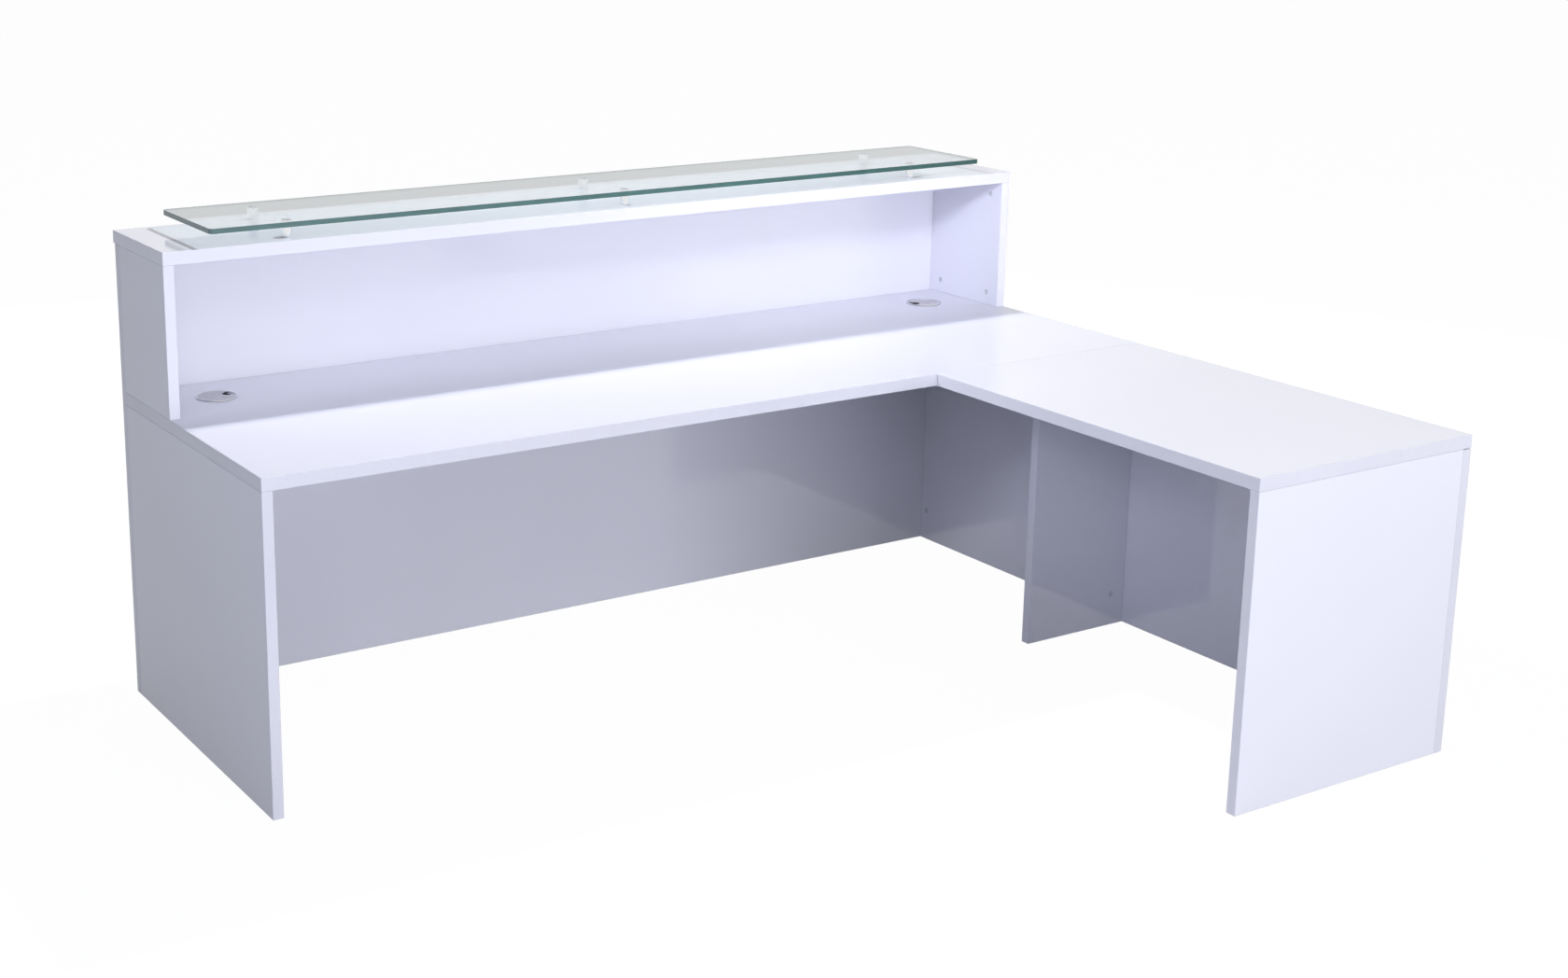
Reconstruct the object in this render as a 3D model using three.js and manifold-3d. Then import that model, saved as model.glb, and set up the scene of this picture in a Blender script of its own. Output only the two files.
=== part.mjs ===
// An L-shaped reception desk in gloss-white board, with a raised hob and a glass shelf on round posts.
// Millimetres, +Z up, +X along the main worktop, +Y from the staff side to the visitor side.
import * as THREE from 'three';
import { mergeVertices } from 'three/addons/utils/BufferGeometryUtils.js';
import Module from 'manifold-3d';

// Carcass
const DESK_LENGTH = 2400; // main desk, over both end panels
const MAIN_DEPTH = 810; // main worktop, from its staff edge to the fascia
const WORKTOP_HEIGHT = 745; // floor to the upper face of both worktops
const WORKTOP_THICKNESS = 30;
const PANEL_THICKNESS = 25; // every upright board
const RETURN_LENGTH = 1030; // from the main worktop's staff edge to the free end
const RETURN_WIDTH = 660; // over the return fascia
const RETURN_FASCIA_GAP = 2; // shadow gap under the return worktop
const SUPPORT_WIDTH = 325;
const SUPPORT_SEAM_GAP = 5; // from the support panel to the seam of the worktops

// Hob and hutch
const HOB_HEIGHT = 1120; // floor to the hob's upper face
const HOB_THICKNESS = 30;
const HUTCH_DEPTH = 290; // hutch panels, from the hob's staff edge to the fascia
const HOB_OVERHANG = 10; // of the hob past the fascia

// Glass shelf and its posts
const GLASS_THICKNESS = 12;
const GLASS_CORNER_RADIUS = 12;
const GLASS_END_SETBACK = 110; // from the ends of the hob
const GLASS_VISITOR_SETBACK = 25; // from the hob's visitor edge
const POST_DIAMETER = 25;
const POST_HEIGHT = 28.5;
const POST_END_INSET = 200; // from the ends of the glass
const POST_EDGE_INSET = 50; // from the long edges of the glass
const STUD_DIAMETER = 8;
const STUD_LENGTH = 18;
const PAD_THICKNESS = 1.5;
const PAD_EDGE_MARGIN = 2.5; // from the edge of the post

// Cable grommets
const CABLE_HOLE_DIAMETER = 80;
const GROMMET_END_INSET = 165; // from the ends of the desk
const GROMMET_FASCIA_INSET = 145; // from the fascia
const LINER_WALL = 3;
const LINER_DEPTH = 22;
const FLANGE_WIDTH = 8; // past the cable hole
const LEDGE_THICKNESS = 1; // of the flange under the cap
const RIM_WIDTH = 4.5; // of the raised ring round the cap
const CAP_THICKNESS = 2;
const CAP_SKIRT_WALL = 1.8;
const CAP_SKIRT_DEPTH = 8;
const NOTCH_WIDTH = 28;
const NOTCH_DEPTH = 26; // from the cap's edge inwards
const LEFT_NOTCH_ANGLE = 15; // degrees from +X
const RIGHT_NOTCH_ANGLE = 180;

// Cam fittings, dowels and joining plates
const CAM_DIAMETER = 15;
const CAM_TAIL = 4; // of the cam below the bolt's axis
const CAM_WALL = 3; // round the hollow that takes the bolt's head
const DRIVER_SLOT_LENGTH = 8;
const DRIVER_SLOT_WIDTH = 1.8;
const DRIVER_SLOT_DEPTH = 3;
const BOLT_SHANK_DIAMETER = 7;
const BOLT_HEAD_DIAMETER = 6.4;
const BOLT_HEAD_LENGTH = 4;
const BOLT_NECK_DIAMETER = 4.4;
const THREAD_DIAMETER = 6;
const THREAD_LENGTH = 11;
const HUTCH_CAM_SETBACK = 35; // from the edge of a panel to the middle of its cam
const END_CAM_SETBACK = 24;
const SUPPORT_CAM_SETBACK = 44;
const HUTCH_CAM_INSET = 46; // from the upright edges of a hutch panel
const FLOOR_CAM_HEIGHT = 85;
const DOWEL_DIAMETER = 8;
const DOWEL_LENGTH = 30;
const DOWEL_INSET = 100; // from the staff edge, or from the return's inner edge
const DOWEL_SPACING = 320;
const PLATE_WIDTH = 60;
const PLATE_LENGTH = 120; // across the seam
const PLATE_THICKNESS = 3;
const PLATE_INSET = 50; // from the inner corner, and from the support panel

// Fits and fineness
const SLIP = 0.3; // clearance between a piece and the bore or recess that takes it
const OVERRUN = 1; // of a cutting shape past the face that it opens
const ROUND_SIDES = 40; // grommets
const POST_SIDES = 24;
const FITTING_SIDES = 12;
const CORNER_STEPS = 6; // round one corner of the glass

// Levels and lines: X from the left end, Y from the main worktop's staff edge, Z from the floor
const worktopUnderside = WORKTOP_HEIGHT - WORKTOP_THICKNESS;
const hobUnderside = HOB_HEIGHT - HOB_THICKNESS;
const hobStaffEdge = MAIN_DEPTH - HUTCH_DEPTH;
const fasciaFront = MAIN_DEPTH + PANEL_THICKNESS;
const hobVisitorEdge = fasciaFront + HOB_OVERHANG;
const rightInnerFace = DESK_LENGTH - PANEL_THICKNESS;
const returnInnerEdge = DESK_LENGTH - RETURN_WIDTH;
const returnFreeEnd = -RETURN_LENGTH;
const returnEndInnerFace = returnFreeEnd + PANEL_THICKNESS;
const supportInnerEdge = rightInnerFace - SUPPORT_WIDTH;
const supportFarFace = -SUPPORT_SEAM_GAP;
const supportStaffFace = supportFarFace - PANEL_THICKNESS;
const panelMiddle = PANEL_THICKNESS / 2;

const X = new THREE.Vector3(1, 0, 0);
const Y = new THREE.Vector3(0, 1, 0);
const Z = new THREE.Vector3(0, 0, 1);

// Finishes
const whiteLacquer = { color: 0xe9eaf2, roughness: 0.1, metalness: 0 };
const clearGlass = { color: 0xcfe8e4, roughness: 0.02, metalness: 0, transparent: true, opacity: 0.35 };
const chrome = { color: 0xd8d9dc, roughness: 0.08, metalness: 1 };
const clearPad = { color: 0xdfe3e4, roughness: 0.4, metalness: 0 };
const silverPlastic = { color: 0xa9a9b2, roughness: 0.4, metalness: 0.2 };
const zinc = { color: 0x8d8e93, roughness: 0.45, metalness: 0.8 };
const steel = { color: 0xb4b5b8, roughness: 0.35, metalness: 1 };
const beech = { color: 0xc9a374, roughness: 0.8, metalness: 0 };

const wasm = await Module();
wasm.setup();

// A closed geometry as a solid that can be joined and cut.
function toSolid(geometry) {
  const bare = geometry.clone();
  bare.deleteAttribute('normal');
  bare.deleteAttribute('uv');
  const merged = mergeVertices(bare, 1e-3);
  const vertProperties = new Float32Array(merged.attributes.position.array);
  const triVerts = new Uint32Array(merged.index.array);
  return new wasm.Manifold(new wasm.Mesh({ numProp: 3, vertProperties, triVerts }));
}

// The geometry that is left when the cutters are taken out of the body.
function cut(body, cutters) {
  let solid = toSolid(body);
  for (const cutter of cutters) {
    solid = solid.subtract(toSolid(cutter));
  }
  const mesh = solid.getMesh();
  const geometry = new THREE.BufferGeometry();
  geometry.setAttribute('position', new THREE.BufferAttribute(new Float32Array(mesh.vertProperties), 3));
  geometry.setIndex(new THREE.BufferAttribute(new Uint32Array(mesh.triVerts), 1));
  const faceted = geometry.toNonIndexed();
  faceted.computeVertexNormals();
  return faceted;
}

// A box between two values on each axis.
function board([x0, x1], [y0, y1], [z0, z1]) {
  const box = new THREE.BoxGeometry(x1 - x0, y1 - y0, z1 - z0);
  return box.translate((x0 + x1) / 2, (y0 + y1) / 2, (z0 + z1) / 2);
}

// A solid of revolution about Z, from [radius, height] points.
function turned(points, sides) {
  const profile = points.map(([radius, height]) => new THREE.Vector2(radius, height));
  return new THREE.LatheGeometry(profile, sides).rotateX(Math.PI / 2);
}

// A round bar along Z, between two heights.
function rod(radius, bottom, top, sides) {
  return turned([[0, bottom], [radius, bottom], [radius, top], [0, top]], sides);
}

// Moves a geometry from its own axes to the place where its X and Z axes lie along the given directions.
function place(geometry, origin, xAxis, zAxis) {
  const yAxis = new THREE.Vector3().crossVectors(zAxis, xAxis);
  const basis = new THREE.Matrix4().makeBasis(xAxis, yAxis, zAxis);
  return geometry.applyMatrix4(basis.setPosition(origin));
}

function piece(name, geometry, finish) {
  const mesh = new THREE.Mesh(geometry, new THREE.MeshStandardMaterial(finish));
  mesh.name = name;
  return mesh;
}

// Every board of the desk, before its bores are made.
const underWorktop = [0, worktopUnderside];
const underHob = [WORKTOP_HEIGHT, hobUnderside];
const worktopLayer = [worktopUnderside, WORKTOP_HEIGHT];
const leftWall = [0, PANEL_THICKNESS];
const rightWall = [rightInnerFace, DESK_LENGTH];
const endWall = [returnFreeEnd, returnEndInnerFace];
const supportWall = [supportStaffFace, supportFarFace];
const boards = {
  main_worktop: board([0, DESK_LENGTH], [0, MAIN_DEPTH], worktopLayer),
  return_worktop: board([returnInnerEdge, DESK_LENGTH], [returnFreeEnd, 0], worktopLayer),
  left_end_panel: board(leftWall, [0, MAIN_DEPTH], underWorktop),
  right_end_panel: board(rightWall, [0, MAIN_DEPTH], underWorktop),
  front_fascia: board([0, DESK_LENGTH], [MAIN_DEPTH, fasciaFront], [0, hobUnderside]),
  return_fascia: board(rightWall, [returnFreeEnd, 0], [0, worktopUnderside - RETURN_FASCIA_GAP]),
  return_end_panel: board([returnInnerEdge, rightInnerFace], endWall, underWorktop),
  return_support_panel: board([supportInnerEdge, rightInnerFace], supportWall, underWorktop),
  hutch_left_panel: board(leftWall, [hobStaffEdge, MAIN_DEPTH], underHob),
  hutch_right_panel: board(rightWall, [hobStaffEdge, MAIN_DEPTH], underHob),
  hob_top: board([0, DESK_LENGTH], [hobStaffEdge, hobVisitorEdge], [hobUnderside, HOB_HEIGHT]),
};

// The bores of each board, filled in by the fittings below.
const bores = {};
for (const name of Object.keys(boards)) {
  bores[name] = [];
}

// A cam lock in the face of one board, and the bolt that it pulls, which is screwed into another board.
// The cam's own axes: X from its middle along the bolt to the other board, Z out of the face.
function camFitting({ name, panel, into, middle, pull, outward, setback }) {
  const camRadius = CAM_DIAMETER / 2;
  const camBottom = -panelMiddle - CAM_TAIL;
  const hollowEnd = camRadius - CAM_WALL;
  const shankStart = camRadius + SLIP;
  const threadEnd = setback + THREAD_LENGTH;
  const headRadius = BOLT_HEAD_DIAMETER / 2;
  const neckRadius = BOLT_NECK_DIAMETER / 2;
  const shankRadius = BOLT_SHANK_DIAMETER / 2;
  const threadRadius = THREAD_DIAMETER / 2;
  const headEnd = hollowEnd - SLIP;
  const headStart = headEnd - BOLT_HEAD_LENGTH;
  const at = (geometry) => place(geometry, middle, pull, outward);
  const alongBolt = (geometry) => geometry.rotateY(Math.PI / 2).translate(0, 0, -panelMiddle);

  const driverSlot = [-DRIVER_SLOT_LENGTH / 2, DRIVER_SLOT_LENGTH / 2];
  const slotWidth = [-DRIVER_SLOT_WIDTH / 2, DRIVER_SLOT_WIDTH / 2];
  const slotDepth = [-DRIVER_SLOT_DEPTH, OVERRUN];
  const cam = cut(rod(camRadius, camBottom, 0, FITTING_SIDES), [
    board(driverSlot, slotWidth, slotDepth),
    board(slotWidth, driverSlot, slotDepth),
    alongBolt(rod(headRadius + SLIP, headStart - SLIP, hollowEnd, FITTING_SIDES)),
    alongBolt(rod(neckRadius + SLIP, 0, camRadius + OVERRUN, FITTING_SIDES)),
  ]);
  const bolt = turned(
    [
      [0, headStart],
      [headRadius, headStart],
      [headRadius, headEnd],
      [neckRadius, headEnd],
      [neckRadius, shankStart],
      [shankRadius, shankStart],
      [shankRadius, setback - SLIP],
      [threadRadius, setback - SLIP],
      [threadRadius, threadEnd],
      [0, threadEnd],
    ],
    FITTING_SIDES,
  );
  bores[panel].push(at(rod(camRadius + SLIP, camBottom - SLIP, OVERRUN, FITTING_SIDES)));
  bores[panel].push(at(alongBolt(rod(shankRadius + SLIP, 0, setback + OVERRUN, FITTING_SIDES))));
  const threadBore = rod(threadRadius + SLIP, setback - OVERRUN, threadEnd + SLIP, FITTING_SIDES);
  bores[into].push(at(alongBolt(threadBore)));
  return [piece(`${name}_cam`, at(cam), zinc), piece(`${name}_bolt`, at(alongBolt(bolt)), steel)];
}

// Four cam fittings on each hutch panel, two down into the worktop and two up into the hob.
function hutchFittings() {
  const made = [];
  const rows = { staff: hobStaffEdge + HUTCH_CAM_INSET, visitor: MAIN_DEPTH - HUTCH_CAM_INSET };
  const sides = { left: [PANEL_THICKNESS, X], right: [rightInnerFace, X.clone().negate()] };
  const levels = {
    low: [WORKTOP_HEIGHT + HUTCH_CAM_SETBACK, Z.clone().negate(), 'main_worktop'],
    high: [hobUnderside - HUTCH_CAM_SETBACK, Z, 'hob_top'],
  };
  for (const [side, [x, outward]] of Object.entries(sides)) {
    for (const [level, [z, pull, into]] of Object.entries(levels)) {
      for (const [row, y] of Object.entries(rows)) {
        made.push(...camFitting({
          name: `hutch_${side}_${level}_${row}`,
          panel: `hutch_${side}_panel`,
          into,
          middle: new THREE.Vector3(x, y, z),
          pull,
          outward,
          setback: HUTCH_CAM_SETBACK,
        }));
      }
    }
  }
  return made;
}

// One cam fitting near the floor on each upright panel that meets a fascia.
function floorFittings() {
  const endLine = MAIN_DEPTH - END_CAM_SETBACK;
  return [
    camFitting({
      name: 'left_end',
      panel: 'left_end_panel',
      into: 'front_fascia',
      middle: new THREE.Vector3(PANEL_THICKNESS, endLine, FLOOR_CAM_HEIGHT),
      pull: Y,
      outward: X,
      setback: END_CAM_SETBACK,
    }),
    camFitting({
      name: 'right_end',
      panel: 'right_end_panel',
      into: 'front_fascia',
      middle: new THREE.Vector3(rightInnerFace, endLine, FLOOR_CAM_HEIGHT),
      pull: Y,
      outward: X.clone().negate(),
      setback: END_CAM_SETBACK,
    }),
    camFitting({
      name: 'support',
      panel: 'return_support_panel',
      into: 'return_fascia',
      middle: new THREE.Vector3(rightInnerFace - SUPPORT_CAM_SETBACK, supportStaffFace, FLOOR_CAM_HEIGHT),
      pull: X,
      outward: Y.clone().negate(),
      setback: SUPPORT_CAM_SETBACK,
    }),
    camFitting({
      name: 'return_end',
      panel: 'return_end_panel',
      into: 'return_fascia',
      middle: new THREE.Vector3(rightInnerFace - END_CAM_SETBACK, returnEndInnerFace, FLOOR_CAM_HEIGHT),
      pull: X,
      outward: Y,
      setback: END_CAM_SETBACK,
    }),
  ].flat();
}

// A wooden dowel standing half in the top edge of a panel and half in the worktop on it.
function dowel(name, panel, worktop, x, y) {
  const half = DOWEL_LENGTH / 2;
  const radius = DOWEL_DIAMETER / 2;
  const bore = rod(radius + SLIP, -half - SLIP, half + SLIP, FITTING_SIDES);
  bore.translate(x, y, worktopUnderside);
  bores[panel].push(bore);
  bores[worktop].push(bore);
  const bar = rod(radius, -half, half, FITTING_SIDES);
  return piece(name, bar.translate(x, y, worktopUnderside), beech);
}

function dowels() {
  const rightLine = rightInnerFace + panelMiddle;
  const returnLine = returnFreeEnd + panelMiddle;
  const places = { first: DOWEL_INSET, second: DOWEL_INSET + DOWEL_SPACING };
  return Object.entries(places).flatMap(([order, along]) => {
    const across = returnInnerEdge + along;
    return [
      dowel(`left_end_${order}_dowel`, 'left_end_panel', 'main_worktop', panelMiddle, along),
      dowel(`right_end_${order}_dowel`, 'right_end_panel', 'main_worktop', rightLine, along),
      dowel(`return_end_${order}_dowel`, 'return_end_panel', 'return_worktop', across, returnLine),
    ];
  });
}

// Flat plates under the seam, one beside the inner corner and one beside the support panel.
function joiningPlates() {
  const starts = {
    corner: returnInnerEdge + PLATE_INSET,
    support: supportInnerEdge - PLATE_INSET - PLATE_WIDTH,
  };
  const acrossSeam = [-PLATE_LENGTH / 2, PLATE_LENGTH / 2];
  const underSeam = [worktopUnderside - PLATE_THICKNESS, worktopUnderside];
  return Object.entries(starts).map(([end, x]) =>
    piece(`${end}_joining_plate`, board([x, x + PLATE_WIDTH], acrossSeam, underSeam), steel));
}

// The glass with rounded corners, and six posts whose studs are let into the hob.
function glassShelf() {
  const made = [];
  const left = GLASS_END_SETBACK;
  const right = DESK_LENGTH - GLASS_END_SETBACK;
  const staff = hobStaffEdge;
  const visitor = hobVisitorEdge - GLASS_VISITOR_SETBACK;
  const r = GLASS_CORNER_RADIUS;
  const outline = new THREE.Shape();
  outline.absarc(right - r, staff + r, r, -Math.PI / 2, 0);
  outline.absarc(right - r, visitor - r, r, 0, Math.PI / 2);
  outline.absarc(left + r, visitor - r, r, Math.PI / 2, Math.PI);
  outline.absarc(left + r, staff + r, r, Math.PI, 1.5 * Math.PI);
  const glass = new THREE.ExtrudeGeometry(outline, {
    depth: GLASS_THICKNESS,
    bevelEnabled: false,
    curveSegments: CORNER_STEPS,
  });
  const padTop = HOB_HEIGHT + POST_HEIGHT + PAD_THICKNESS;
  made.push(piece('raised_glass_shelf', glass.translate(0, 0, padTop), clearGlass));

  const postRadius = POST_DIAMETER / 2;
  const studRadius = STUD_DIAMETER / 2;
  const rows = { staff: staff + POST_EDGE_INSET, visitor: visitor - POST_EDGE_INSET };
  const places = {
    left: left + POST_END_INSET,
    middle: (left + right) / 2,
    right: right - POST_END_INSET,
  };
  for (const [row, y] of Object.entries(rows)) {
    for (const [side, x] of Object.entries(places)) {
      const post = turned(
        [
          [0, -STUD_LENGTH],
          [studRadius, -STUD_LENGTH],
          [studRadius, 0],
          [postRadius, 0],
          [postRadius, POST_HEIGHT],
          [0, POST_HEIGHT],
        ],
        POST_SIDES,
      );
      const pad = rod(postRadius - PAD_EDGE_MARGIN, POST_HEIGHT, POST_HEIGHT + PAD_THICKNESS, POST_SIDES);
      const studBore = rod(studRadius + SLIP, -STUD_LENGTH - SLIP, OVERRUN, FITTING_SIDES);
      bores.hob_top.push(studBore.translate(x, y, HOB_HEIGHT));
      made.push(piece(`${row}_${side}_post`, post.translate(x, y, HOB_HEIGHT), chrome));
      made.push(piece(`${row}_${side}_pad`, pad.translate(x, y, HOB_HEIGHT), clearPad));
    }
  }
  return made;
}

// A liner let into the worktop, and a notched cap that turns on its ledge. Heights are from the worktop.
function grommet(side, x, notchAngle) {
  const holeRadius = CABLE_HOLE_DIAMETER / 2;
  const barrelOuter = holeRadius - SLIP;
  const barrelInner = barrelOuter - LINER_WALL;
  const flangeOuter = holeRadius + FLANGE_WIDTH;
  const recess = flangeOuter - RIM_WIDTH;
  const capBottom = LEDGE_THICKNESS + SLIP;
  const capTop = capBottom + CAP_THICKNESS;
  const capRadius = recess - SLIP;
  const skirtOuter = barrelInner - SLIP;
  const skirtInner = skirtOuter - CAP_SKIRT_WALL;
  const skirtBottom = capBottom - CAP_SKIRT_DEPTH;

  const liner = turned(
    [
      [barrelInner, -LINER_DEPTH],
      [barrelOuter, -LINER_DEPTH],
      [barrelOuter, 0],
      [flangeOuter, 0],
      [flangeOuter, capTop],
      [recess, capTop],
      [recess, LEDGE_THICKNESS],
      [barrelInner, LEDGE_THICKNESS],
      [barrelInner, -LINER_DEPTH],
    ],
    ROUND_SIDES,
  );
  const disc = turned(
    [
      [0, capBottom],
      [skirtInner, capBottom],
      [skirtInner, skirtBottom],
      [skirtOuter, skirtBottom],
      [skirtOuter, capBottom],
      [capRadius, capBottom],
      [capRadius, capTop],
      [0, capTop],
    ],
    ROUND_SIDES,
  );
  const notchRadius = NOTCH_WIDTH / 2;
  const notchMiddle = capRadius - NOTCH_DEPTH + notchRadius;
  const notchHeights = [skirtBottom - OVERRUN, capTop + OVERRUN];
  const cap = cut(disc, [
    rod(notchRadius, ...notchHeights, ROUND_SIDES).translate(notchMiddle, 0, 0),
    board([notchMiddle, capRadius + OVERRUN], [-notchRadius, notchRadius], notchHeights),
  ]);

  const middle = new THREE.Vector3(x, MAIN_DEPTH - GROMMET_FASCIA_INSET, WORKTOP_HEIGHT);
  const cableHole = rod(holeRadius, -WORKTOP_THICKNESS - OVERRUN, OVERRUN, ROUND_SIDES);
  bores.main_worktop.push(cableHole.translate(...middle));
  const linerPiece = piece(`${side}_grommet_liner`, liner, silverPlastic);
  const capPiece = piece(`${side}_grommet_cap`, cap, silverPlastic);
  linerPiece.position.copy(middle);
  capPiece.position.copy(middle);
  capPiece.rotation.z = THREE.MathUtils.degToRad(notchAngle);
  return [linerPiece, capPiece];
}

const fitted = [
  ...hutchFittings(),
  ...floorFittings(),
  ...dowels(),
  ...joiningPlates(),
  ...glassShelf(),
  ...grommet('left', GROMMET_END_INSET, LEFT_NOTCH_ANGLE),
  ...grommet('right', DESK_LENGTH - GROMMET_END_INSET, RIGHT_NOTCH_ANGLE),
];
const carcass = Object.entries(boards).map(([name, body]) => {
  return piece(name, cut(body, bores[name]), whiteLacquer);
});

// The frame's origin is on the floor, under the middle of the desk's box.
const assembly = new THREE.Group();
assembly.position.set(-DESK_LENGTH / 2, -(returnFreeEnd + hobVisitorEdge) / 2, 0);
assembly.add(...carcass, ...fitted);
const desk = new THREE.Group();
desk.add(assembly);

export default desk;
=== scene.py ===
import math

import bmesh
import bpy
from mathutils import Matrix, Vector


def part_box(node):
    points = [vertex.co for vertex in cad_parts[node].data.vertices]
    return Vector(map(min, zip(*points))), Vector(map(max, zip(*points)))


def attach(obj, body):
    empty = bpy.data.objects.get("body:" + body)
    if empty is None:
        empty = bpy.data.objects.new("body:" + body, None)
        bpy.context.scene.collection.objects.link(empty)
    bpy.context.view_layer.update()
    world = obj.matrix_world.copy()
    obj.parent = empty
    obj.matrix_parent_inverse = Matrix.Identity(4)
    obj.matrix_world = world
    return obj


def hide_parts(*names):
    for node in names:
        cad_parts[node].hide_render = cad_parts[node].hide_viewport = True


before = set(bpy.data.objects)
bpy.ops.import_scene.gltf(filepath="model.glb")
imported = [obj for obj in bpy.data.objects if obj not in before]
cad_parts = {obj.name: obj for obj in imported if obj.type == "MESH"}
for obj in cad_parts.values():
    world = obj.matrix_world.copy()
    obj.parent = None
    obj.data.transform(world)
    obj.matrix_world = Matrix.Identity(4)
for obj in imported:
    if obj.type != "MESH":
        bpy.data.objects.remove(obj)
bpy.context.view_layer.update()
scene = bpy.context.scene

# Sizes in metres. Rings and caps count their heights from the top of the worktop, cams and screw
# heads from the face that they are let into or lie on. Below the last height listed for the ring
# and for the cap, their faces are painted near-black as painted shade inside the hole.
BOARD_ROUND = 0.0016
GLASS_CORNER = 0.012
GLASS_ARRIS = 0.0011
PAD_ROUND = 0.0003
POST = {
    "stud": 0.004, "foot_round": 0.0004, "collar_top": 0.0026,
    "groove_low": 0.0030, "groove_high": 0.0036, "groove_depth": 0.0006,
    "shank_low": 0.0040, "shank_inset": 0.0002, "crown_round": 0.0012,
}
LINER = {
    "barrel": 0.0397, "bore": 0.0367, "flange": 0.048, "recess": 0.0435, "ledge": 0.001,
    "lead_in": 0.0006, "lead_height": 0.0015, "seat": 0.00002, "rim_inset": 0.0003,
    "rim_low": 0.0004, "rim_round": 0.0018, "lip_round": 0.0007, "chamfer": 0.0003,
    "painted_shade_below": 0.0008,
}
CAP = {
    "radius": 0.0432, "skirt": 0.0364, "skirt_in": 0.0346, "notch": 0.014, "notch_depth": 0.026,
    "under": 0.0013, "lead_in": 0.0004, "lead_height": 0.0006, "chamfer": 0.0003,
    "edge_round": 0.0007, "rim": 0.0030, "dish_start": 0.0038, "dish_middle": 0.020,
    "dish_depths": (0.0005, 0.00055, 0.0006), "painted_shade_below": 0.00135,
}
NOTCH_CUT = {"half_height": 0.02, "past_edge": 0.01}
CAM_PROFILE = [
    (0, -0.0165), (0.0071, -0.0165), (0.0075, -0.0161), (0.0075, -0.0005), (0.0071, -0.00005),
    (0.0062, -0.00005), (0.0058, -0.0004), (0, -0.0004),
]
CAM_SLOT = {"reach": 0.004, "half_width": 0.0009, "low": -0.0014, "high": 0.001}
PLATE_CORNER = 0.006
PLATE_ARRIS = 0.0005
SCREW_ACROSS = (-0.017, 0.017)
SCREW_ALONG = (-0.044, -0.016, 0.016, 0.044)
SCREW_TURN = 0.5
SCREW_PROFILE = [
    (0, 0.0), (0.0042, 0.0), (0.0042, -0.0006), (0.0038, -0.0013), (0.0028, -0.0020),
    (0.0014, -0.0024), (0, -0.0025),
]
SCREW_SLOT = {"reach": 0.0022, "half_width": 0.0004, "low": -0.004, "high": -0.0012}

# How many sides the round pieces have.
RING_SIDES = 96
POST_SIDES = 64
PAD_SIDES = 48
CAM_SIDES = 48
NOTCH_SIDES = 48
SCREW_SIDES = 24

# How close two places count as one, and how straight a face has to look along an axis.
SAME_POINT = 1e-6
ON_AXIS = 1e-7
ON_SIDE = 1e-5
UPRIGHT = 1e-4
STRAIGHT = 0.999


# Finishes

def new_finish(name, settings):
    """A material and its shader, with the settings that are the same all over."""
    material = bpy.data.materials.new(name)
    material.use_nodes = True
    shader = material.node_tree.nodes["Principled BSDF"]
    for socket, value in settings.items():
        shader.inputs[socket].default_value = value
    return material, shader


def add(owner, kind, settings=None):
    node = owner.node_tree.nodes.new(kind)
    for socket, value in (settings or {}).items():
        node.inputs[socket].default_value = value
    return node


def join(owner, source, target):
    owner.node_tree.links.new(source, target)


def place(material, stretch=(1, 1, 1), turn=(0, 0, 0)):
    """Object coordinates, stretched and turned."""
    where = add(material, "ShaderNodeTexCoord")
    mapping = add(material, "ShaderNodeMapping", {"Scale": stretch, "Rotation": turn})
    join(material, where.outputs["Object"], mapping.inputs["Vector"])
    return mapping.outputs["Vector"]


def noise(material, scale, detail=2.0, stretch=(1, 1, 1), turn=(0, 0, 0)):
    pattern = add(material, "ShaderNodeTexNoise", {"Scale": scale, "Detail": detail})
    join(material, place(material, stretch, turn), pattern.inputs["Vector"])
    return pattern.outputs["Fac"]


def shades(material, amount, stops):
    """Colours along a ramp: stops are (place on the ramp, colour)."""
    ramp = add(material, "ShaderNodeValToRGB")
    elements = ramp.color_ramp.elements
    while len(elements) < len(stops):
        elements.new(0.5)
    for element, (at, colour) in zip(elements, stops):
        element.position = at
        element.color = (*colour, 1.0)
    join(material, amount, ramp.inputs["Fac"])
    return ramp.outputs["Color"]


def two_tone(material, pattern, first, second):
    """A colour that drifts between two tones over the middle of a pattern."""
    return shades(material, pattern, [(0.3, first), (0.7, second)])


def spread(owner, amount, low, high, start, end):
    """The part of a pattern between low and high, as a number from start to end."""
    scaled = add(owner, "ShaderNodeMapRange", {
        "From Min": low, "From Max": high, "To Min": start, "To Max": end,
    })
    join(owner, amount, scaled.inputs["Value"])
    return scaled.outputs["Result"]


def blended(material, amount, first, second):
    mix = add(material, "ShaderNodeMix")
    mix.data_type = "RGBA"
    join(material, amount, mix.inputs["Factor"])
    join(material, first, mix.inputs["A"])
    join(material, second, mix.inputs["B"])
    return mix.outputs["Result"]


def coloured(material, shader, colour):
    join(material, colour, shader.inputs["Base Color"])


def roughened(material, shader, pattern, least, most, low=0.3, high=0.7):
    """A roughness from least to most, over the part of a pattern between low and high."""
    rough = spread(material, pattern, low, high, least, most)
    join(material, rough, shader.inputs["Roughness"])


def raised(material, shader, layers):
    """Bumps, one on another: layers are (height, strength, depth in metres)."""
    normal = None
    for height, strength, depth in layers:
        bump = add(material, "ShaderNodeBump", {"Strength": strength, "Distance": depth})
        join(material, height, bump.inputs["Height"])
        if normal:
            join(material, normal, bump.inputs["Normal"])
        normal = bump.outputs["Normal"]
    join(material, normal, shader.inputs["Normal"])


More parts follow.
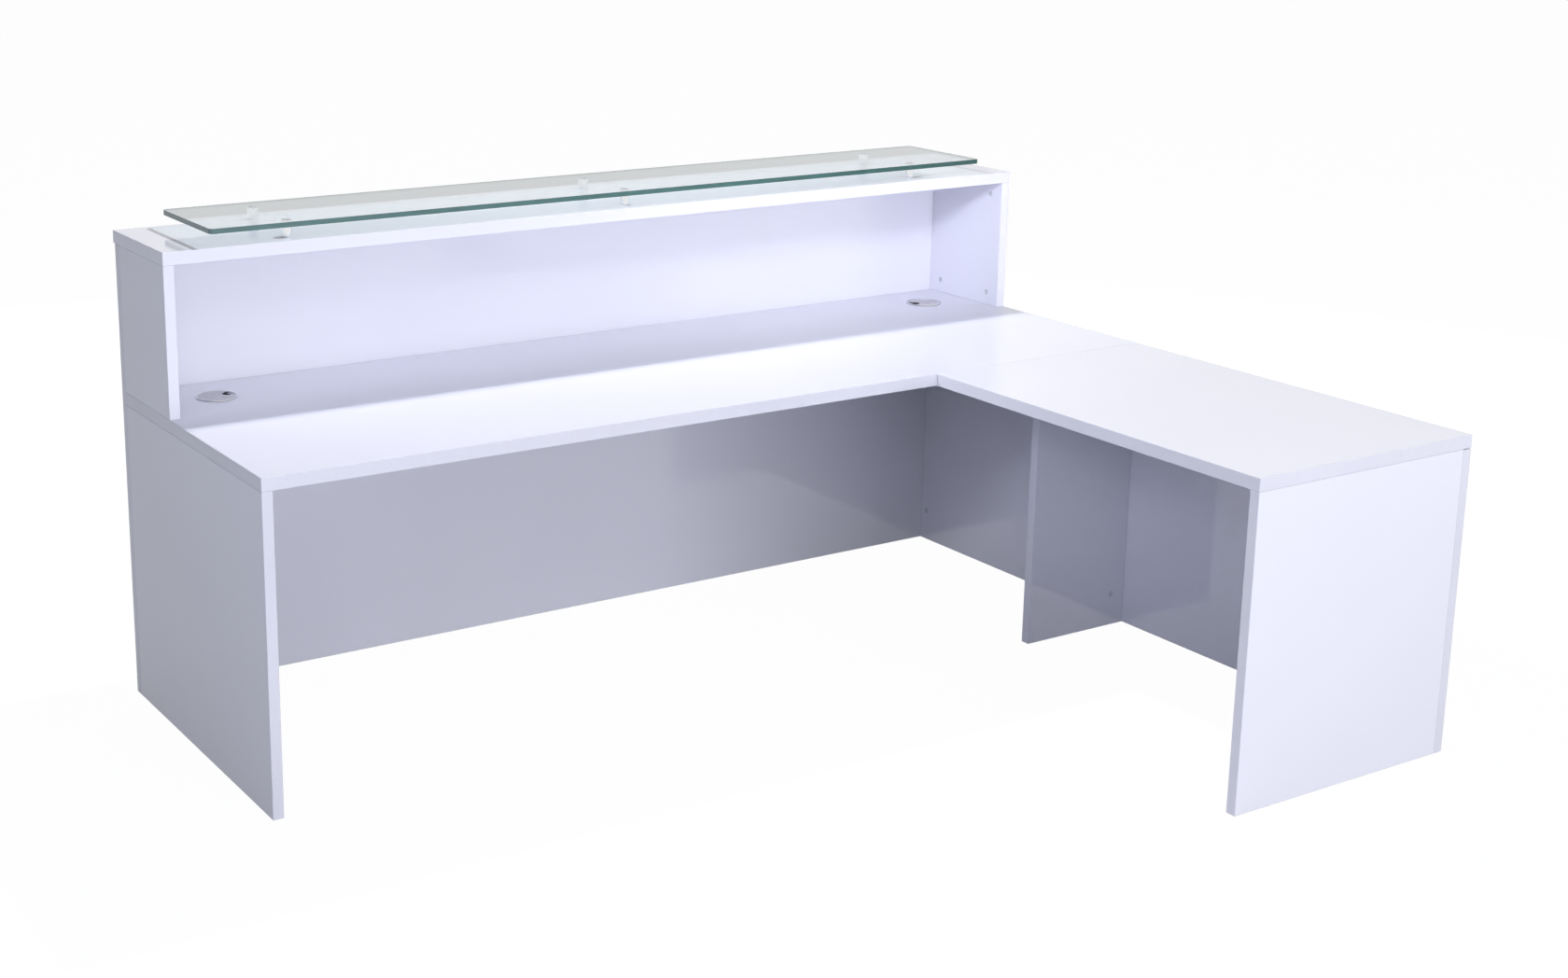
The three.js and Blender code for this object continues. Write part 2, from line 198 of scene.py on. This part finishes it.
def show_either(owner, output, amount, first, second):
    """Goes over from one shader to another by amount, and shows the result at the output."""
    either = add(owner, "ShaderNodeMixShader")
    join(owner, amount, either.inputs["Fac"])
    join(owner, first, either.inputs[1])
    join(owner, second, either.inputs[2])
    join(owner, either.outputs["Shader"], owner.node_tree.nodes[output].inputs["Surface"])


def gloss_lacquer():
    """White high-gloss lacquer: a faint peel, wiped smears and a few dust nibs."""
    material, shader = new_finish("gloss_lacquer", {"IOR": 1.5})
    cloud = two_tone(
        material, noise(material, 1.6, 3), (0.800, 0.806, 0.892), (0.826, 0.831, 0.912)
    )
    nibs = spread(material, noise(material, 620, 2), 0.74, 0.79, 0, 0.35)
    dust = two_tone(material, noise(material, 40, 1), (0.60, 0.60, 0.66), (0.68, 0.68, 0.74))
    coloured(material, shader, blended(material, nibs, cloud, dust))
    smears = noise(material, 6.5, 5, (1, 0.3, 1.8), (0, 0, 0.5))
    roughened(material, shader, smears, 0.035, 0.105, 0.35, 0.7)
    raised(material, shader, [
        (noise(material, 210, 1), 0.018, 0.0006),
        (noise(material, 5.5, 2), 0.05, 0.002),
    ])
    return material


def edge_band():
    """The lipped edges of the boards: the same white, less even, rubbed along the arrises."""
    material, shader = new_finish("edge_band", {"IOR": 1.5})
    tone = two_tone(
        material, noise(material, 3.1, 3), (0.705, 0.711, 0.800), (0.748, 0.754, 0.838)
    )
    rub = spread(material, noise(material, 85, 4), 0.62, 0.75, 0, 0.5)
    worn = two_tone(material, noise(material, 22, 2), (0.60, 0.60, 0.66), (0.70, 0.70, 0.77))
    coloured(material, shader, blended(material, rub, tone, worn))
    roughened(material, shader, noise(material, 18, 4), 0.06, 0.17)
    raised(material, shader, [
        (noise(material, 260, 2), 0.03, 0.0005),
        (noise(material, 34, 2), 0.03, 0.0008),
    ])
    return material


def clear_glass():
    """Float glass with a slight green cast and finger smears, which lamps shine through."""
    material, shader = new_finish("clear_pane", {"IOR": 1.52, "Transmission Weight": 1.0})
    tone = two_tone(
        material, noise(material, 2.2, 2), (0.875, 0.945, 0.985), (0.890, 0.955, 0.997)
    )
    coloured(material, shader, tone)
    roughened(material, shader, noise(material, 11, 5, (1, 0.4, 1)), 0.0, 0.05, 0.5, 0.8)
    raised(material, shader, [(noise(material, 14, 2), 0.012, 0.0008)])
    through = add(material, "ShaderNodeBsdfTransparent", {"Color": (0.940, 0.990, 0.995, 1)})
    ray = add(material, "ShaderNodeLightPath")
    show_either(
        material, "Material Output", ray.outputs["Is Shadow Ray"],
        shader.outputs["BSDF"], through.outputs["BSDF"],
    )
    return material


def glass_edge():
    """The polished edge of the glass, where the green of the whole pane shows, with painted shade
    that darkens it from left to right.
    """
    material, shader = new_finish("glass_edge", {"IOR": 1.52})
    along = add(material, "ShaderNodeSeparateXYZ")
    join(material, place(material), along.inputs["Vector"])
    # Painted shade: the edge's green goes from light teal at the left end to dark green at the
    # right end.
    depth = spread(material, along.outputs["X"], -1.1, 1.1, 0, 1)
    painted_shade_green = shades(material, depth, [
        (0.0, (0.115, 0.205, 0.198)), (0.45, (0.070, 0.165, 0.156)), (1.0, (0.020, 0.088, 0.078)),
    ])
    deep = two_tone(
        material, noise(material, 6, 2), (0.025, 0.070, 0.066), (0.055, 0.130, 0.122)
    )
    drift = spread(material, noise(material, 9, 3, (1, 1, 6)), 0.35, 0.75, 0, 0.45)
    coloured(material, shader, blended(material, drift, painted_shade_green, deep))
    roughened(material, shader, noise(material, 60, 3), 0.03, 0.12)
    raised(material, shader, [(noise(material, 150, 1, (1, 1, 0.1)), 0.02, 0.0005)])
    return material


def bright_chrome():
    """Chrome plate with polishing lines round it and a little dust."""
    material, shader = new_finish("bright_chrome", {"Metallic": 1.0})
    tone = two_tone(material, noise(material, 30, 3), (0.87, 0.88, 0.90), (0.93, 0.935, 0.95))
    coloured(material, shader, tone)
    roughened(material, shader, noise(material, 90, 4), 0.03, 0.13, 0.35, 0.75)
    raised(material, shader, [(noise(material, 60, 2, (1, 1, 60)), 0.03, 0.0002)])
    return material


def satin_silver():
    """Satin silver moulding: fine moulded grain and rubbed high spots."""
    material, shader = new_finish("satin_silver", {"Metallic": 0.15, "IOR": 1.48})
    tone = two_tone(material, noise(material, 38, 4), (0.50, 0.495, 0.525), (0.58, 0.575, 0.60))
    fleck = shades(material, noise(material, 1900, 1), [
        (0.35, (0.44, 0.44, 0.47)), (0.65, (0.66, 0.655, 0.68)),
    ])
    share = spread(material, noise(material, 55, 2), 0.3, 0.7, 0.15, 0.35)
    coloured(material, shader, blended(material, share, tone, fleck))
    roughened(material, shader, noise(material, 130, 3), 0.26, 0.42)
    raised(material, shader, [(noise(material, 1500, 2), 0.09, 0.0002)])
    return material


def cast_zinc():
    """Pale zinc casting: mottled light grey with a grainy skin."""
    material, shader = new_finish("cast_zinc", {"Metallic": 0.15, "IOR": 1.48})
    tone = two_tone(material, noise(material, 260, 4), (0.50, 0.54, 0.575), (0.60, 0.64, 0.675))
    coloured(material, shader, tone)
    roughened(material, shader, noise(material, 420, 3), 0.34, 0.55)
    raised(material, shader, [(noise(material, 900, 3), 0.15, 0.0002)])
    return material


def polished_ring():
    """The bright rim of a cable hole: plated, with fine turning lines."""
    material, shader = new_finish("polished_ring", {"Metallic": 0.85})
    tone = two_tone(material, noise(material, 45, 3), (0.62, 0.62, 0.645), (0.72, 0.72, 0.745))
    coloured(material, shader, tone)
    roughened(material, shader, noise(material, 160, 3), 0.10, 0.24)
    raised(material, shader, [(noise(material, 700, 2), 0.05, 0.0002)])
    return material


def painted_shade_moulding():
    """Painted shade: near-black for the shaded inside of a cable hole, with a dull moulded grain.
    """
    material, shader = new_finish("painted_shade_moulding", {"IOR": 1.46})
    tone = two_tone(
        material, noise(material, 90, 3), (0.010, 0.010, 0.011), (0.022, 0.021, 0.023)
    )
    coloured(material, shader, tone)
    roughened(material, shader, noise(material, 300, 2), 0.5, 0.7)
    raised(material, shader, [(noise(material, 800, 2), 0.1, 0.0002)])
    return material


def plated_steel():
    """Zinc-plated steel with the drawn lines of the strip it was cut from."""
    material, shader = new_finish("plated_steel", {"Metallic": 1.0})
    drawn = noise(material, 45, 4, (1, 8, 1))
    coloured(material, shader, two_tone(material, drawn, (0.47, 0.475, 0.48), (0.60, 0.60, 0.59)))
    roughened(material, shader, noise(material, 120, 4, (1, 12, 1)), 0.24, 0.44)
    raised(material, shader, [(noise(material, 400, 2, (1, 0.05, 1)), 0.05, 0.0002)])
    return material


def soft_pad():
    """Clear soft plastic, a little cloudy."""
    material, shader = new_finish("soft_pad", {"IOR": 1.45, "Transmission Weight": 0.55})
    tone = two_tone(material, noise(material, 120, 3), (0.70, 0.735, 0.735), (0.80, 0.83, 0.83))
    coloured(material, shader, tone)
    roughened(material, shader, noise(material, 200, 2), 0.28, 0.5)
    raised(material, shader, [(noise(material, 500, 2), 0.08, 0.0002)])
    return material


def raw_beech():
    """Raw beech with short flecks along the grain."""
    material, shader = new_finish("raw_beech", {"IOR": 1.5})
    grain = noise(material, 60, 4, (1, 1, 0.12))
    tone = two_tone(material, grain, (0.46, 0.27, 0.12), (0.60, 0.39, 0.19))
    fleck = spread(material, noise(material, 420, 2, (1, 1, 0.15)), 0.6, 0.72, 0, 0.5)
    brown = two_tone(material, noise(material, 80, 1), (0.33, 0.18, 0.08), (0.40, 0.23, 0.10))
    coloured(material, shader, blended(material, fleck, tone, brown))
    roughened(material, shader, noise(material, 90, 2), 0.55, 0.75)
    raised(material, shader, [(noise(material, 300, 2, (1, 1, 0.1)), 0.15, 0.0003)])
    return material


lacquer = gloss_lacquer()
lipping = edge_band()
pane = clear_glass()
pane_edge = glass_edge()
chrome = bright_chrome()
silver = satin_silver()
zinc = cast_zinc()
ring = polished_ring()
painted_shade_black = painted_shade_moulding()
steel = plated_steel()
pad_plastic = soft_pad()
beech = raw_beech()


# Pieces

def settle(bm, name, finishes, replaced, body="desk", crease=35.0):
    """Turns a bmesh into a piece that stands for CAD nodes and moves with a body."""
    mesh = bpy.data.meshes.new(name)
    bm.to_mesh(mesh)
    bm.free()
    for finish in finishes:
        mesh.materials.append(finish)
    mesh.shade_smooth()
    mesh.set_sharp_from_angle(angle=math.radians(crease))
    piece = bpy.data.objects.new(name, mesh)
    scene.collection.objects.link(piece)
    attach(piece, body)
    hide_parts(*replaced)
    return piece


def even_shading(piece):
    """Large flat faces keep their own normals beside narrow rounded ones."""
    weighted = piece.modifiers.new("even_shading", "WEIGHTED_NORMAL")
    weighted.keep_sharp = True
    weighted.weight = 100


def round_edges(bm, edges, size, segments, **more):
    bmesh.ops.bevel(
        bm, geom=edges, offset=size, segments=segments, profile=0.5, affect="EDGES",
        material=-1, **more,
    )


def upright_edges(bm):
    return [e for e in bm.edges if abs(e.verts[0].co.z - e.verts[1].co.z) > UPRIGHT]


def outer_edges(bm, low, high):
    """The twelve edges of a board's box, leaving its bores alone."""
    def on_side(vert, axis, value):
        return abs(vert.co[axis] - value) < ON_SIDE

    found = []
    for edge in bm.edges:
        sides = sum(
            all(on_side(vert, axis, value) for vert in edge.verts)
            for axis in range(3) for value in (low[axis], high[axis])
        )
        if sides == 2:
            found.append(edge)
    return found


def lacquered_board(node, edges):
    """A board with its bores, its arrises rounded, and its narrow sides lipped or lacquered."""
    low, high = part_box(node)
    thin = min(range(3), key=lambda axis: high[axis] - low[axis])
    bm = bmesh.new()
    bm.from_mesh(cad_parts[node].data)
    bmesh.ops.remove_doubles(bm, verts=bm.verts, dist=SAME_POINT)
    bmesh.ops.dissolve_limit(
        bm, angle_limit=math.radians(0.5), verts=bm.verts, edges=bm.edges
    )
    round_edges(bm, outer_edges(bm, low, high), BOARD_ROUND, 4, clamp_overlap=False)
    for face in bm.faces:
        face.material_index = 0 if abs(face.normal[thin]) > STRAIGHT else 1
    even_shading(settle(bm, node + "_board", [lacquer, edges], [node]))


for board in (
    "main_worktop", "return_worktop", "left_end_panel", "right_end_panel", "front_fascia",
    "return_fascia", "return_end_panel", "return_support_panel",
):
    lacquered_board(board, lipping)
for board in ("hutch_left_panel", "hutch_right_panel", "hob_top"):
    lacquered_board(board, lacquer)


def add_block(bm, low, high):
    made = bmesh.ops.create_cube(bm, size=1.0)["verts"]
    low, high = Vector(low), Vector(high)
    bmesh.ops.scale(bm, vec=high - low, verts=made)
    bmesh.ops.translate(bm, vec=(low + high) / 2, verts=made)


def glass_shelf():
    """The pane: round corners, polished arrises, green edges."""
    low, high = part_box("raised_glass_shelf")
    bm = bmesh.new()
    add_block(bm, low, high)
    round_edges(bm, upright_edges(bm), GLASS_CORNER, 10)
    rims = [
        e for e in bm.edges
        if abs(e.verts[0].co.z - e.verts[1].co.z) < SAME_POINT
        and any(abs(f.normal.z) > STRAIGHT for f in e.link_faces)
    ]
    round_edges(bm, rims, GLASS_ARRIS, 2)
    for face in bm.faces:
        face.material_index = 0 if abs(face.normal.z) > STRAIGHT else 1
    finishes = [pane, pane_edge]
    even_shading(settle(bm, "glass_shelf", finishes, ["raised_glass_shelf"]))


glass_shelf()


def turned(profile, sides):
    """A turned shape about Z: profile is a list of (radius, height)."""
    bm = bmesh.new()
    verts = [bm.verts.new((radius, 0, height)) for radius, height in profile]
    edges = [bm.edges.new(pair) for pair in zip(verts, verts[1:])]
    bmesh.ops.spin(
        bm, geom=verts + edges, cent=(0, 0, 0), axis=(0, 0, 1), angle=math.tau,
        steps=sides, use_merge=True,
    )
    bmesh.ops.remove_doubles(bm, verts=bm.verts, dist=ON_AXIS)
    bmesh.ops.recalc_face_normals(bm, faces=bm.faces)
    return bm


def arc(centre, radius, start, end, steps):
    """Points of a rounded corner in a profile, angles in degrees."""
    points = []
    for step in range(steps + 1):
        angle = math.radians(start + (end - start) * step / steps)
        across, up = radius * math.cos(angle), radius * math.sin(angle)
        points.append((centre[0] + across, centre[1] + up))
    return points


def post(node):
    """A chrome post with a base collar, a waist groove, a rounded top and its stud."""
    low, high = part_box(node)
    middle = (low + high) / 2
    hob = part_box("hob_top")[1].z
    radius = (high.x - low.x) / 2
    tall = high.z - hob
    foot, crown = POST["foot_round"], POST["crown_round"]
    shank = radius - POST["shank_inset"]
    waist = radius - POST["groove_depth"]
    bm = turned(
        [(0, low.z - hob), (POST["stud"], low.z - hob), (POST["stud"], 0)]
        + arc((radius - foot, foot), foot, -90, 0, 3)
        + [(radius, POST["collar_top"]), (waist, POST["groove_low"])]
        + [(waist, POST["groove_high"]), (shank, POST["shank_low"])]
        + arc((shank - crown, tall - crown), crown, 0, 90, 5)
        + [(0, tall)],
        POST_SIDES,
    )
    bmesh.ops.translate(bm, vec=(middle.x, middle.y, hob), verts=bm.verts)
    settle(bm, node + "_turned", [chrome], [node])


def pad(node):
    """A clear disc with softened rims, between a post and the glass."""
    low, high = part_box(node)
    middle = (low + high) / 2
    inner = (high.x - low.x) / 2 - PAD_ROUND
    bm = turned(
        [(0, low.z)] + arc((inner, low.z + PAD_ROUND), PAD_ROUND, -90, 0, 3)
        + arc((inner, high.z - PAD_ROUND), PAD_ROUND, 0, 90, 3) + [(0, high.z)],
        PAD_SIDES,
    )
    bmesh.ops.translate(bm, vec=(middle.x, middle.y, 0), verts=bm.verts)
    settle(bm, node + "_disc", [pad_plastic], [node])


for row in ("staff", "visitor"):
    for side in ("left", "middle", "right"):
        post(f"{row}_{side}_post")
        pad(f"{row}_{side}_pad")


def carve(bm, cutter):
    """Cuts one bmesh out of another and gives the rest as a new bmesh."""
    objects = []
    for shape, name in ((bm, "stock"), (cutter, "cutter")):
        mesh = bpy.data.meshes.new(name)
        shape.to_mesh(mesh)
        shape.free()
        objects.append(bpy.data.objects.new(name, mesh))
        scene.collection.objects.link(objects[-1])
    stock, tool = objects
    cut = stock.modifiers.new("cut", "BOOLEAN")
    cut.operation = "DIFFERENCE"
    cut.object = tool
    cut.solver = "EXACT"
    cut.use_self = True
    graph = bpy.context.evaluated_depsgraph_get()
    left = bmesh.new()
    left.from_mesh(stock.evaluated_get(graph).to_mesh())
    for made in objects:
        mesh = made.data
        bpy.data.objects.remove(made)
        bpy.data.meshes.remove(mesh)
    return left


def driver_cross(slot):
    """A cutter for a crossed driver slot."""
    reach, half = slot["reach"], slot["half_width"]
    cross = bmesh.new()
    add_block(cross, (-reach, -half, slot["low"]), (reach, half, slot["high"]))
    add_block(cross, (-half, -reach, slot["low"]), (half, reach, slot["high"]))
    return cross


def grommet_liner(side):
    """The ring let into the worktop: a barrel, a rounded flange and a recess for the cap."""
    node = f"{side}_grommet_liner"
    low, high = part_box(node)
    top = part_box("main_worktop")[1].z
    rise = high.z - top
    foot = low.z - top
    barrel, bore, ledge = LINER["barrel"], LINER["bore"], LINER["ledge"]
    flange, recess, seat = LINER["flange"], LINER["recess"], LINER["seat"]
    rim, lip, chamfer = LINER["rim_round"], LINER["lip_round"], LINER["chamfer"]
    bm = turned(
        [(bore, foot), (barrel - LINER["lead_in"], foot), (barrel, foot + LINER["lead_height"])]
        + [(barrel, seat), (flange - LINER["rim_inset"], seat), (flange, LINER["rim_low"])]
        + arc((flange - rim, rise - rim), rim, 0, 90, 6)
        + arc((recess + lip, rise - lip), lip, 90, 180, 4)
        + [(recess, ledge), (bore + chamfer, ledge), (bore, ledge - chamfer), (bore, foot)],
        RING_SIDES,
    )
    for face in bm.faces:
        # Painted shade: the ring's faces low in the hole take the near-black finish.
        face.material_index = 1 if face.calc_center_median().z < LINER["painted_shade_below"] else 0
    middle = (low + high) / 2
    bmesh.ops.translate(bm, vec=(middle.x, middle.y, top), verts=bm.verts)
    settle(bm, node + "_ring", [ring, painted_shade_black], [node])


def notch_cutter():
    """A round-ended slot that opens at the rim of a cap."""
    half, width, edge = NOTCH_CUT["half_height"], CAP["notch"], CAP["radius"]
    middle = edge - CAP["notch_depth"] + width
    slot = bmesh.new()
    bmesh.ops.create_cone(
        slot, cap_ends=True, segments=NOTCH_SIDES, radius1=width, radius2=width,
        depth=2 * half, matrix=Matrix.Translation((middle, 0, 0)),
    )
    add_block(slot, (middle, -width, -half), (edge + NOTCH_CUT["past_edge"], width, half))
    return slot


def grommet_cap(side, turn):
    """The turning cap: a shallow dish with a skirt, open at the cable notch."""
    node = f"{side}_grommet_cap"
    ring_low, ring_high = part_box(f"{side}_grommet_liner")
    low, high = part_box(node)
    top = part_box("main_worktop")[1].z
    rise = high.z - top
    foot = low.z - top
    edge, under, skirt = CAP["radius"], CAP["under"], CAP["skirt"]
    rounding, chamfer = CAP["edge_round"], CAP["chamfer"]
    shallow, middle, deep = CAP["dish_depths"]
    disc = turned(
        [(0, under), (CAP["skirt_in"], under), (CAP["skirt_in"], foot)]
        + [(skirt - CAP["lead_in"], foot), (skirt, foot + CAP["lead_height"]), (skirt, under)]
        + [(edge - chamfer, under), (edge, under + chamfer)]
        + arc((edge - rounding, rise - rounding), rounding, 0, 90, 4)
        + [(edge - CAP["rim"], rise), (edge - CAP["dish_start"], rise - shallow)]
        + [(CAP["dish_middle"], rise - middle), (0, rise - deep)],
        RING_SIDES,
    )
    bm = carve(disc, notch_cutter())
    for face in bm.faces:
        # Painted shade: the cap's underside and skirt take the near-black finish.
        face.material_index = 1 if face.calc_center_median().z < CAP["painted_shade_below"] else 0
    spin = Matrix.Rotation(math.radians(turn), 3, "Z")
    bmesh.ops.rotate(bm, verts=bm.verts, cent=(0, 0, 0), matrix=spin)
    centre = (ring_low + ring_high) / 2
    bmesh.ops.translate(bm, vec=(centre.x, centre.y, top), verts=bm.verts)
    settle(
        bm, node + "_dish", [silver, painted_shade_black], [node],
        body=f"{side}_cap", crease=30.0,
    )


grommet_liner("left")
grommet_liner("right")
grommet_cap("left", 15)
grommet_cap("right", 180)


def cam(node, outward, pull):
    """A cam lock in its board: outward is the way its face looks, pull the way its bolt runs."""
    low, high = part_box(node)
    out = Vector(outward)
    half = (high - low) / 2
    face = (low + high) / 2 + Vector(abs(a) * b for a, b in zip(out, half)) * sum(out)
    along = Vector(pull)
    across = out.cross(along)
    spin = Matrix((along, across, out)).transposed().to_4x4()
    bm = carve(turned(CAM_PROFILE, CAM_SIDES), driver_cross(CAM_SLOT))
    bmesh.ops.transform(bm, matrix=Matrix.Translation(face) @ spin, verts=bm.verts)
    settle(bm, node + "_lock", [zinc], [node], crease=30.0)


for side, inward in (("left", 1), ("right", -1)):
    for level, pull in (("low", -1), ("high", 1)):
        for row in ("staff", "visitor"):
            cam(f"hutch_{side}_{level}_{row}_cam", (inward, 0, 0), (0, 0, pull))
    cam(f"{side}_end_cam", (inward, 0, 0), (0, 1, 0))
cam("support_cam", (0, -1, 0), (1, 0, 0))
cam("return_end_cam", (0, 1, 0), (1, 0, 0))


def joining_plate(node):
    """A steel strip under the seam of the worktops, with eight round screw heads."""
    low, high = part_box(node)
    bm = bmesh.new()
    add_block(bm, low, high)
    round_edges(bm, upright_edges(bm), PLATE_CORNER, 5)
    rims = [e for e in bm.edges if all(abs(v.co.z - low.z) < SAME_POINT for v in e.verts)]
    round_edges(bm, rims, PLATE_ARRIS, 2)
    settle(bm, node + "_strip", [steel], [node])
    middle = (low + high) / 2
    places = [(dx, dy) for dx in SCREW_ACROSS for dy in SCREW_ALONG]
    for count, (dx, dy) in enumerate(places):
        bm = carve(turned(SCREW_PROFILE, SCREW_SIDES), driver_cross(SCREW_SLOT))
        spin = Matrix.Rotation(SCREW_TURN * count, 3, "Z")
        bmesh.ops.rotate(bm, verts=bm.verts, cent=(0, 0, 0), matrix=spin)
        bmesh.ops.translate(bm, vec=(middle.x + dx, middle.y + dy, low.z), verts=bm.verts)
        settle(bm, f"{node}_screw_{count + 1}", [steel], [])


joining_plate("corner_joining_plate")
joining_plate("support_joining_plate")

for name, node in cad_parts.items():
    finish = steel if name.endswith("_bolt") else beech if name.endswith("_dowel") else None
    if finish:
        node.data.materials.clear()
        node.data.materials.append(finish)


# Stage, light and camera

# How white the studio shows to the camera and in polished faces, and the share of that behind
# glass. The floor mixes its own white with a little of the light that falls on it.
CAMERA_WHITE = 1.06
MIRROR_WHITE = 0.95
GLASS_SHARE = 0.48
FLOOR_WHITE_SHARE = 0.92
FLOOR_REACH = 40
FLOOR_DROP = 0.0004

# Lamp colours.
NEUTRAL = (1, 1, 1)
COOL = (0.93, 0.94, 1.0)
BLUISH = (0.74, 0.79, 1.0)

# The photograph's frame and how its camera saw it, in the photograph's own pixels.
PHOTO_WIDTH, PHOTO_HEIGHT = 1680, 1048
FOCAL_LENGTH = 2355.4
OPTICAL_CENTRE = (700, 400)
SENSOR_WIDTH = 36.0
CAMERA_AT = (-2.7918, -3.9066, 2.0100)
CAMERA_RIGHT = (0.84693, -0.53164, 0.00771)
CAMERA_UP = (0.12066, 0.20630, 0.97102)
CAMERA_BACK = (-0.51783, -0.82146, 0.23887)


def paired(owner, operation, first, second):
    result = add(owner, "ShaderNodeMath")
    result.operation = operation
    join(owner, first, result.inputs[0])
    join(owner, second, result.inputs[1])
    return result.outputs["Value"]


def larger(owner, first, second):
    return paired(owner, "MAXIMUM", first, second)


def times(owner, first, second):
    return paired(owner, "MULTIPLY", first, second)


def seen_ray(owner):
    """1 for a ray from the camera, a mirror or glass, and how bright it finds the studio."""
    ray = add(owner, "ShaderNodeLightPath")
    through = ray.outputs["Is Transmission Ray"]
    seen = larger(owner, ray.outputs["Is Glossy Ray"], through)
    bright = spread(owner, seen, 0, 1, CAMERA_WHITE, MIRROR_WHITE)
    bright = times(owner, bright, spread(owner, through, 0, 1, 1, GLASS_SHARE))
    seen = larger(owner, seen, ray.outputs["Is Camera Ray"])
    direct = spread(owner, ray.outputs["Diffuse Depth"], 0, 1, 1, 0)
    return times(owner, seen, direct), bright


def studio_floor():
    """A pale floor that goes over to white and still takes the desk's shadow."""
    bm = bmesh.new()
    bmesh.ops.create_grid(bm, x_segments=1, y_segments=1, size=FLOOR_REACH)
    bmesh.ops.translate(bm, vec=(0, 0, -FLOOR_DROP), verts=bm.verts)
    mesh = bpy.data.meshes.new("studio_floor")
    bm.to_mesh(mesh)
    bm.free()
    floor = bpy.data.objects.new("studio_floor", mesh)
    scene.collection.objects.link(floor)
    material, shader = new_finish("studio_floor", {
        "Roughness": 0.9, "Base Color": (0.38, 0.385, 0.415, 1),
    })
    seen, bright = seen_ray(material)
    glow = add(material, "ShaderNodeEmission", {"Color": (1, 1, 1, 1)})
    join(material, bright, glow.inputs["Strength"])
    show_either(
        material, "Material Output", spread(material, seen, 0, 1, 0, FLOOR_WHITE_SHARE),
        shader.outputs["BSDF"], glow.outputs["Emission"],
    )
    mesh.materials.append(material)


def studio_world():
    """A white surround for what is seen, and a faint cool fill for what is lit."""
    world = bpy.data.worlds.new("studio")
    world.use_nodes = True
    scene.world = world
    soft = world.node_tree.nodes["Background"]
    soft.inputs["Color"].default_value = (0.84, 0.86, 1.0, 1)
    soft.inputs["Strength"].default_value = 0.04
    seen, bright = seen_ray(world)
    white = add(world, "ShaderNodeBackground", {"Color": (1, 1, 1, 1)})
    join(world, bright, white.inputs["Strength"])
    show_either(
        world, "World Output", seen, soft.outputs["Background"], white.outputs["Background"]
    )


def hang(light, at):
    """Hangs a lamp that lights the desk without showing in it."""
    holder = bpy.data.objects.new(light.name, light)
    holder.location = at
    holder.visible_camera = False
    holder.visible_glossy = False
    holder.visible_transmission = False
    scene.collection.objects.link(holder)
    return holder


def softbox(name, at, towards, size, watts, colour=NEUTRAL, beam=180):
    """A soft lamp in a wide box; beam is how far its light fans out, in degrees."""
    light = bpy.data.lights.new(name, "AREA")
    light.shape = "RECTANGLE"
    light.size, light.size_y = size
    light.energy = watts
    light.color = colour
    light.spread = math.radians(beam)
    aim = Vector(towards) - Vector(at)
    hang(light, at).rotation_euler = aim.to_track_quat("-Z", "Y").to_euler()


def bare_lamp(name, at, size, watts):
    """A small lamp that reaches near and far alike, so that edges below it cast crisp shadows."""
    light = bpy.data.lights.new(name, "POINT")
    light.shadow_soft_size = size
    light.energy = watts
    light.use_nodes = True
    falloff = add(light, "ShaderNodeLightFalloff", {"Strength": 1.0})
    emission = light.node_tree.nodes["Emission"]
    join(light, falloff.outputs["Constant"], emission.inputs["Strength"])
    hang(light, at)


studio_floor()
studio_world()
softbox("right_softbox", (7.0, -7.0, 1.8), (0.3, 0.2, 0.8), (3.2, 2.2), 150)
softbox("left_softbox", (-2.8, -4.5, 2.6), (0.3, 0.3, 0.8), (2.6, 2.6), 60, COOL)
softbox("high_softbox", (0.9, -2.8, 4.0), (0.4, 0.3, 0.75), (3.0, 2.0), 62)
softbox("low_softbox", (0.0, -9.0, 1.15), (0.0, 0.3, 0.75), (3.6, 2.0), 310, COOL)
softbox("side_softbox", (-4.2, -1.5, 2.5), (0.0, 0.2, 0.7), (2.4, 2.0), 46, BLUISH)
softbox("visitor_softbox", (0.8, 5.2, 0.9), (0.0, 0.7, 0.6), (3.2, 1.2), 120, COOL)
softbox("far_softbox", (5.0, 1.6, 1.0), (1.2, 0.0, 0.6), (2.4, 1.2), 70, COOL)
softbox("corner_softbox", (-2.0, -1.4, 2.3), (1.15, 0.74, 1.0), (0.5, 0.5), 1.6, COOL, beam=30)
bare_lamp("top_lamp", (-0.11, 0.86, 2.15), 0.03, 32)


def photo_camera():
    """Where the photograph was taken from, by the desk's own corners."""
    data = bpy.data.cameras.new("photo_camera")
    data.sensor_fit = "HORIZONTAL"
    data.sensor_width = SENSOR_WIDTH
    data.lens = FOCAL_LENGTH / PHOTO_WIDTH * SENSOR_WIDTH
    data.shift_x = (PHOTO_WIDTH / 2 - OPTICAL_CENTRE[0]) / PHOTO_WIDTH
    data.shift_y = (OPTICAL_CENTRE[1] - PHOTO_HEIGHT / 2) / PHOTO_WIDTH
    data.clip_end = 200
    holder = bpy.data.objects.new("photo_camera", data)
    axes = (Vector(CAMERA_RIGHT), Vector(CAMERA_UP), Vector(CAMERA_BACK))
    turn = Matrix(axes).transposed().to_4x4()
    holder.matrix_world = Matrix.Translation(CAMERA_AT) @ turn
    scene.collection.objects.link(holder)
    scene.camera = holder


photo_camera()
scene.view_settings.view_transform = "Standard"
